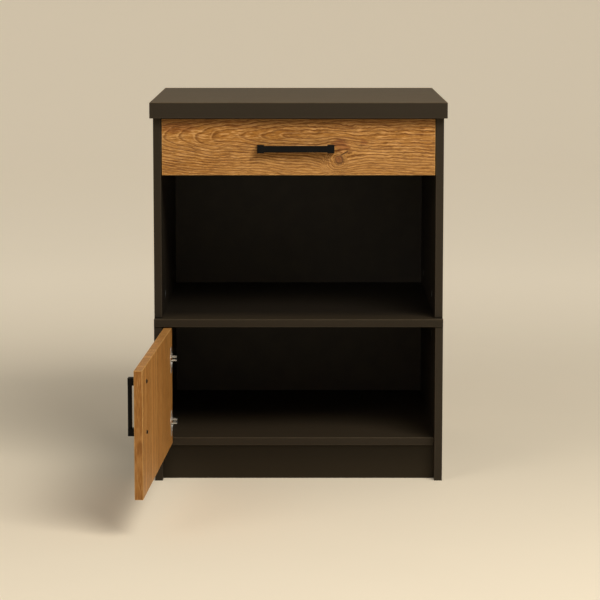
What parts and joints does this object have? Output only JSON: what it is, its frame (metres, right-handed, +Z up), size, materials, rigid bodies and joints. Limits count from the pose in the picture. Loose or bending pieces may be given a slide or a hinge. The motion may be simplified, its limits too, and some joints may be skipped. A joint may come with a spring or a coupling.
{
  "type": "microwave stand",
  "caption": "Dark kitchen stand for a microwave: thick worktop, wood-fronted drawer, open niche, through shelf, and a side-hinged wood door over a recessed plinth.",
  "frame": {"origin": "middle of the plinth board's underside, on the floor, halfway between the two sides", "axes": "+Z up, +Y to the back of the stand, +X to its right as seen from the front"},
  "size_m": [0.6154, 1.1342, 0.774],
  "materials": {
    "carcass_board": "dark grey-brown melamine on chipboard, satin",
    "oak_front": "golden oak with a knot and open grain, satin",
    "box_board": "birch plywood, clear lacquer",
    "hardboard": "hardboard, dark lacquer on the side towards the room",
    "black_handle": "matt black powder coat",
    "nickel_hinge": "nickel-plated pressed steel",
    "zinc_runner": "bright zinc-plated steel strip",
    "steel_ball": "polished ball steel",
    "zinc_screw": "zinc-plated steel",
    "dark_cap": "dark moulded plastic",
    "beech_dowel": "plain beech"
  },
  "bodies": {
    "cabinet": {"arm_screws": "zinc_screw", "back_nails": "zinc_screw", "back_sheet": "hardboard", "bottom_panel": "carcass_board", "cam_discs": "zinc_screw", "carcass_screws": "zinc_screw", "drawer_divider": "carcass_board", "hinge_arm_lower": "nickel_hinge", "hinge_arm_upper": "nickel_hinge", "hinge_plate_lower": "nickel_hinge", "hinge_plate_upper": "nickel_hinge", "lower_side_left": "carcass_board", "lower_side_right": "carcass_board", "microwave_shelf": "carcass_board", "plate_screws": "zinc_screw", "plinth_board": "carcass_board", "runner_cabinet_screws": "zinc_screw", "runner_outer_left": "zinc_runner", "runner_outer_right": "zinc_runner", "screw_caps": "dark_cap", "shelf_cam_bolts": "zinc_screw", "shelf_dowels": "beech_dowel", "top_cam_bolts": "zinc_screw", "top_dowels": "beech_dowel", "upper_side_left": "carcass_board", "upper_side_right": "carcass_board", "worktop": "carcass_board"},
    "door": {"door_panel": "oak_front", "door_handle": "black_handle", "door_handle_screws": "zinc_screw", "cup_screws": "zinc_screw", "hinge_pins": "nickel_hinge", "hinge_cup_upper": "nickel_hinge", "hinge_cup_lower": "nickel_hinge"},
    "drawer": {"drawer_front": "oak_front", "drawer_box_front": "box_board", "drawer_box_back": "box_board", "drawer_side_left": "box_board", "drawer_side_right": "box_board", "drawer_bottom": "hardboard", "drawer_handle": "black_handle", "drawer_handle_screws": "zinc_screw", "drawer_front_screws": "zinc_screw", "drawer_corner_screws": "zinc_screw", "runner_inner_left": "zinc_runner", "runner_inner_right": "zinc_runner", "runner_drawer_screws": "zinc_screw"},
    "runner_middles": {"runner_middle_left": "zinc_runner", "runner_middle_right": "zinc_runner"},
    "outer_cages": {"outer_ball_cages": "zinc_runner", "outer_balls": "steel_ball"},
    "inner_cages": {"inner_ball_cages": "zinc_runner", "inner_balls": "steel_ball"}
  },
  "joints": [
    {"name": "door_hinge", "type": "hinge", "parent": "cabinet", "child": "door", "pos_m": [-0.2677, -0.0282, 0.187], "axis": [0, 0, 1], "range_deg": [-12.3, 92.7]},
    {"name": "drawer_slide", "type": "slide", "parent": "cabinet", "child": "drawer", "axis": [0, -1, 0], "range_m": [0, 0.48]},
    {"name": "middle_slide", "type": "slide", "parent": "cabinet", "child": "runner_middles", "axis": [0, -1, 0], "range_m": [0, 0.24]},
    {"name": "outer_cage_slide", "type": "slide", "parent": "cabinet", "child": "outer_cages", "axis": [0, -1, 0], "range_m": [0, 0.12]},
    {"name": "inner_cage_slide", "type": "slide", "parent": "cabinet", "child": "inner_cages", "axis": [0, -1, 0], "range_m": [0, 0.36]}
  ],
  "couplings": [
    {"joint": "middle_slide", "follows": "drawer_slide", "ratio": 0.5},
    {"joint": "outer_cage_slide", "follows": "drawer_slide", "ratio": 0.25},
    {"joint": "inner_cage_slide", "follows": "drawer_slide", "ratio": 0.75}
  ]
}
